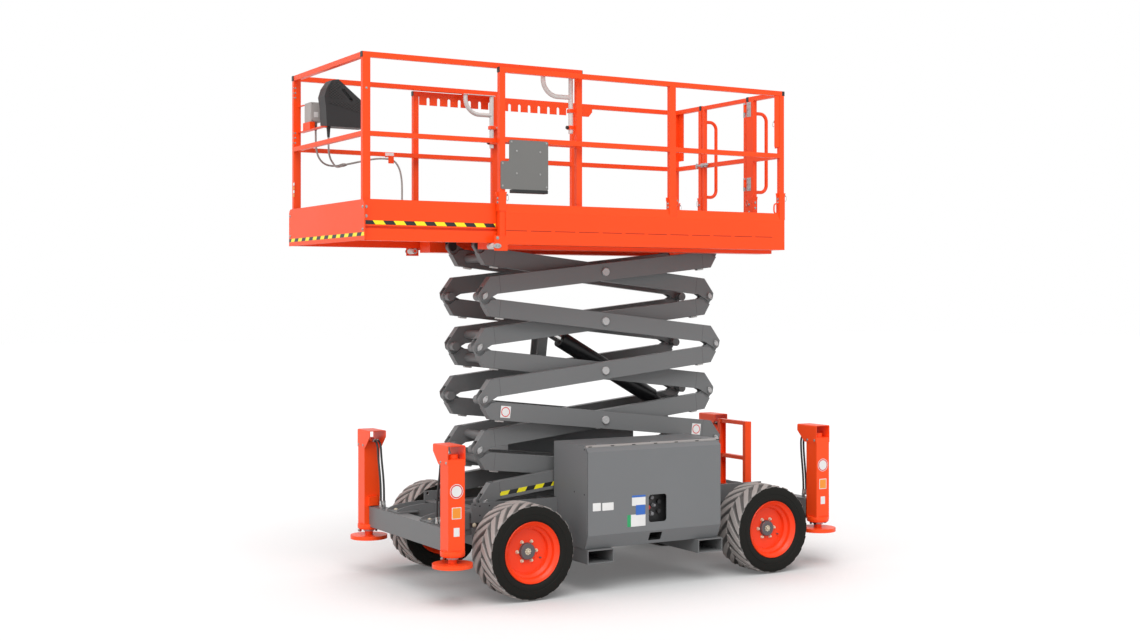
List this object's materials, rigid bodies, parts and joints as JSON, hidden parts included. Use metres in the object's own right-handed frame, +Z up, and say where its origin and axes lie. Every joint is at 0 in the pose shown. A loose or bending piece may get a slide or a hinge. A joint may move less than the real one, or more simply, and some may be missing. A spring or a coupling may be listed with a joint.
{
  "type": "rough-terrain scissor lift",
  "caption": "Electric rough-terrain scissor lift with jacks at the corners, a folding arm stack, and a railed platform with a roll-out deck, raised part way.",
  "frame": {"origin": "on the ground, midway between the axles and on the centre plane", "axes": "+X towards the roll-out deck end, +Y to the machine's left, +Z up"},
  "size_m": [3.9829, 1.75, 3.7456],
  "materials": {
    "chassis_grey": "satin grey paint",
    "arm_grey": "satin grey paint",
    "cabinet_grey": "satin grey paint",
    "orange": "gloss orange-red paint",
    "tyre": "black rubber with pale lug tops",
    "black": "black plastic",
    "battery": "plain block",
    "black_paint": "black paint",
    "grip_grey": "light grey paint",
    "box_grey": "light grey box",
    "steel": "bright plated steel"
  },
  "bodies": {
    "chassis": {"chassis_frame": "chassis_grey", "outrigger_beams": "chassis_grey", "jack_legs": "orange", "front_axle": "chassis_grey", "rear_axle": "chassis_grey", "fork_pockets": "chassis_grey", "cabinet_left": "cabinet_grey", "cabinet_right": "cabinet_grey", "ground_controls": "black", "battery_pack": "battery", "hydraulic_unit": "battery", "entry_ladder": "orange", "jack_hose_front_left": "black", "jack_hose_front_right": "black", "jack_hose_rear_left": "black", "jack_hose_rear_right": "black"},
    "jack_foot_front_left": {"jack_foot_front_left": "orange"},
    "jack_foot_front_right": {"jack_foot_front_right": "orange"},
    "jack_foot_rear_left": {"jack_foot_rear_left": "orange"},
    "jack_foot_rear_right": {"jack_foot_rear_right": "orange"},
    "knuckle_left": {"knuckle_left": "chassis_grey"},
    "knuckle_right": {"knuckle_right": "chassis_grey"},
    "wheel_front_left": {"tyre_front_left": "tyre", "rim_front_left": "orange"},
    "wheel_front_right": {"tyre_front_right": "tyre", "rim_front_right": "orange"},
    "wheel_rear_left": {"tyre_rear_left": "tyre", "rim_rear_left": "orange"},
    "wheel_rear_right": {"tyre_rear_right": "tyre", "rim_rear_right": "orange"},
    "door_left": {"cabinet_door_left": "cabinet_grey"},
    "door_right": {"cabinet_door_right": "cabinet_grey"},
    "inner_arms_1": {"inner_arms_1": "arm_grey"},
    "outer_arms_1": {"outer_arms_1": "arm_grey"},
    "inner_arms_2": {"inner_arms_2": "arm_grey"},
    "outer_arms_2": {"outer_arms_2": "arm_grey"},
    "inner_arms_3": {"inner_arms_3": "arm_grey"},
    "outer_arms_3": {"outer_arms_3": "arm_grey"},
    "inner_arms_4": {"inner_arms_4": "arm_grey"},
    "outer_arms_4": {"outer_arms_4": "arm_grey"},
    "inner_arms_5": {"inner_arms_5": "arm_grey"},
    "outer_arms_5": {"outer_arms_5": "arm_grey"},
    "slide_lower": {"slide_blocks_lower": "black"},
    "slide_upper": {"slide_blocks_upper": "black"},
    "platform": {"platform_deck": "orange", "deck_rollers": "steel", "guardrail_left": "orange", "guardrail_right": "orange", "guardrail_rear": "orange", "tool_plate": "chassis_grey"},
    "gate": {"entry_gate": "orange"},
    "rollout": {"rollout_deck": "orange", "rollout_guardrail": "orange", "rollout_grips": "grip_grey", "control_box": "black", "junction_box": "box_grey", "control_cable_a": "box_grey", "control_cable_b": "box_grey"},
    "cylinder_barrel": {"lift_cylinder_barrel": "black_paint"},
    "cylinder_rod": {"lift_cylinder_rod": "steel"}
  },
  "joints": [
    {"name": "jack_front_left", "type": "slide", "parent": "chassis", "child": "jack_foot_front_left", "axis": [0, 0, -1], "range_m": [0, 0.42]},
    {"name": "jack_front_right", "type": "slide", "parent": "chassis", "child": "jack_foot_front_right", "axis": [0, 0, -1], "range_m": [0, 0.42]},
    {"name": "jack_rear_left", "type": "slide", "parent": "chassis", "child": "jack_foot_rear_left", "axis": [0, 0, -1], "range_m": [0, 0.42]},
    {"name": "jack_rear_right", "type": "slide", "parent": "chassis", "child": "jack_foot_rear_right", "axis": [0, 0, -1], "range_m": [0, 0.42]},
    {"name": "steer_left", "type": "hinge", "parent": "chassis", "child": "knuckle_left", "pos_m": [1.049, 0.62, 0.335], "axis": [0, 0, 1], "range_deg": [-30, 30]},
    {"name": "steer_right", "type": "hinge", "parent": "chassis", "child": "knuckle_right", "pos_m": [1.049, -0.62, 0.335], "axis": [0, 0, 1], "range_deg": [-30, 30]},
    {"name": "roll_front_left", "type": "hinge", "parent": "knuckle_left", "child": "wheel_front_left", "pos_m": [1.049, 0.72, 0.335], "axis": [0, 1, 0], "continuous": true},
    {"name": "roll_front_right", "type": "hinge", "parent": "knuckle_right", "child": "wheel_front_right", "pos_m": [1.049, -0.72, 0.335], "axis": [0, 1, 0], "continuous": true},
    {"name": "roll_rear_left", "type": "hinge", "parent": "chassis", "child": "wheel_rear_left", "pos_m": [-1.049, 0.72, 0.335], "axis": [0, 1, 0], "continuous": true},
    {"name": "roll_rear_right", "type": "hinge", "parent": "chassis", "child": "wheel_rear_right", "pos_m": [-1.049, -0.72, 0.335], "axis": [0, 1, 0], "continuous": true},
    {"name": "door_left", "type": "hinge", "parent": "chassis", "child": "door_left", "pos_m": [0, 0.8, 1.05], "axis": [1, 0, 0], "range_deg": [0, 85]},
    {"name": "door_right", "type": "hinge", "parent": "chassis", "child": "door_right", "pos_m": [0, -0.8, 1.05], "axis": [-1, 0, 0], "range_deg": [0, 85]},
    {"name": "lift", "type": "hinge", "parent": "chassis", "child": "inner_arms_1", "pos_m": [-0.894, 0, 0.623], "axis": [0, -1, 0], "range_deg": [-6.32, 49.68]},
    {"name": "inner_fold_2", "type": "hinge", "parent": "inner_arms_1", "child": "inner_arms_2", "pos_m": [1.15234, 0, 0.9957], "axis": [0, -1, 0], "range_deg": [-99.66, 12.94]},
    {"name": "inner_fold_3", "type": "hinge", "parent": "inner_arms_2", "child": "inner_arms_3", "pos_m": [-0.894, 0, 1.3684], "axis": [0, -1, 0], "range_deg": [-12.94, 99.66]},
    {"name": "inner_fold_4", "type": "hinge", "parent": "inner_arms_3", "child": "inner_arms_4", "pos_m": [1.15234, 0, 1.7411], "axis": [0, -1, 0], "range_deg": [-99.66, 12.94]},
    {"name": "inner_fold_5", "type": "hinge", "parent": "inner_arms_4", "child": "inner_arms_5", "pos_m": [-0.894, 0, 2.1138], "axis": [0, -1, 0], "range_deg": [-12.94, 99.66]},
    {"name": "cross_1", "type": "hinge", "parent": "inner_arms_1", "child": "outer_arms_1", "pos_m": [0.12917, 0, 0.80935], "axis": [0, -1, 0], "range_deg": [-99.66, 12.94]},
    {"name": "cross_2", "type": "hinge", "parent": "inner_arms_2", "child": "outer_arms_2", "pos_m": [0.12917, 0, 1.18205], "axis": [0, -1, 0], "range_deg": [-12.94, 99.66]},
    {"name": "cross_3", "type": "hinge", "parent": "inner_arms_3", "child": "outer_arms_3", "pos_m": [0.12917, 0, 1.55475], "axis": [0, -1, 0], "range_deg": [-99.66, 12.94]},
    {"name": "cross_4", "type": "hinge", "parent": "inner_arms_4", "child": "outer_arms_4", "pos_m": [0.12917, 0, 1.92745], "axis": [0, -1, 0], "range_deg": [-12.94, 99.66]},
    {"name": "cross_5", "type": "hinge", "parent": "inner_arms_5", "child": "outer_arms_5", "pos_m": [0.12917, 0, 2.30015], "axis": [0, -1, 0], "range_deg": [-99.66, 12.94]},
    {"name": "level_lower", "type": "hinge", "parent": "outer_arms_1", "child": "slide_lower", "pos_m": [1.15234, 0, 0.623], "axis": [0, -1, 0], "range_deg": [-6.62, 49.98]},
    {"name": "level_upper", "type": "hinge", "parent": "inner_arms_5", "child": "slide_upper", "pos_m": [1.15234, 0, 2.4865], "axis": [0, -1, 0], "range_deg": [-49.98, 6.62]},
    {"name": "platform_level", "type": "hinge", "parent": "outer_arms_5", "child": "platform", "pos_m": [-0.894, 0, 2.4865], "axis": [0, -1, 0], "range_deg": [-6.62, 49.98]},
    {"name": "gate", "type": "hinge", "parent": "platform", "child": "gate", "pos_m": [-1.21, 0.295, 3.1], "axis": [0, 0, 1], "range_deg": [0, 95]},
    {"name": "rollout_slide", "type": "slide", "parent": "platform", "child": "rollout", "axis": [1, 0, 0], "range_m": [-0.96, 0]},
    {"name": "cylinder_swing", "type": "hinge", "parent": "inner_arms_2", "child": "cylinder_barrel", "pos_m": [-0.62, 0, 1.2577], "axis": [0, -1, 0], "range_deg": [-12.88, 99.16]},
    {"name": "cylinder_stroke", "type": "slide", "parent": "cylinder_barrel", "child": "cylinder_rod", "axis": [0.873, 0, 0.4877], "range_m": [-0.0609, 0.4582]}
  ],
  "couplings": [
    {"joint": "steer_right", "follows": "steer_left", "ratio": 1},
    {"joint": "inner_fold_2", "follows": "lift", "ratio": -2},
    {"joint": "inner_fold_3", "follows": "lift", "ratio": 2},
    {"joint": "inner_fold_4", "follows": "lift", "ratio": -2},
    {"joint": "inner_fold_5", "follows": "lift", "ratio": 2},
    {"joint": "cross_1", "follows": "lift", "ratio": -2},
    {"joint": "cross_2", "follows": "lift", "ratio": 2},
    {"joint": "cross_3", "follows": "lift", "ratio": -2},
    {"joint": "cross_4", "follows": "lift", "ratio": 2},
    {"joint": "cross_5", "follows": "lift", "ratio": -2},
    {"joint": "level_lower", "follows": "lift", "ratio": 1},
    {"joint": "level_upper", "follows": "lift", "ratio": -1},
    {"joint": "platform_level", "follows": "lift", "ratio": 1},
    {"joint": "cylinder_swing", "follows": "lift", "ratio": 1.99},
    {"joint": "cylinder_stroke", "follows": "lift", "m_per_rad": 0.525}
  ]
}
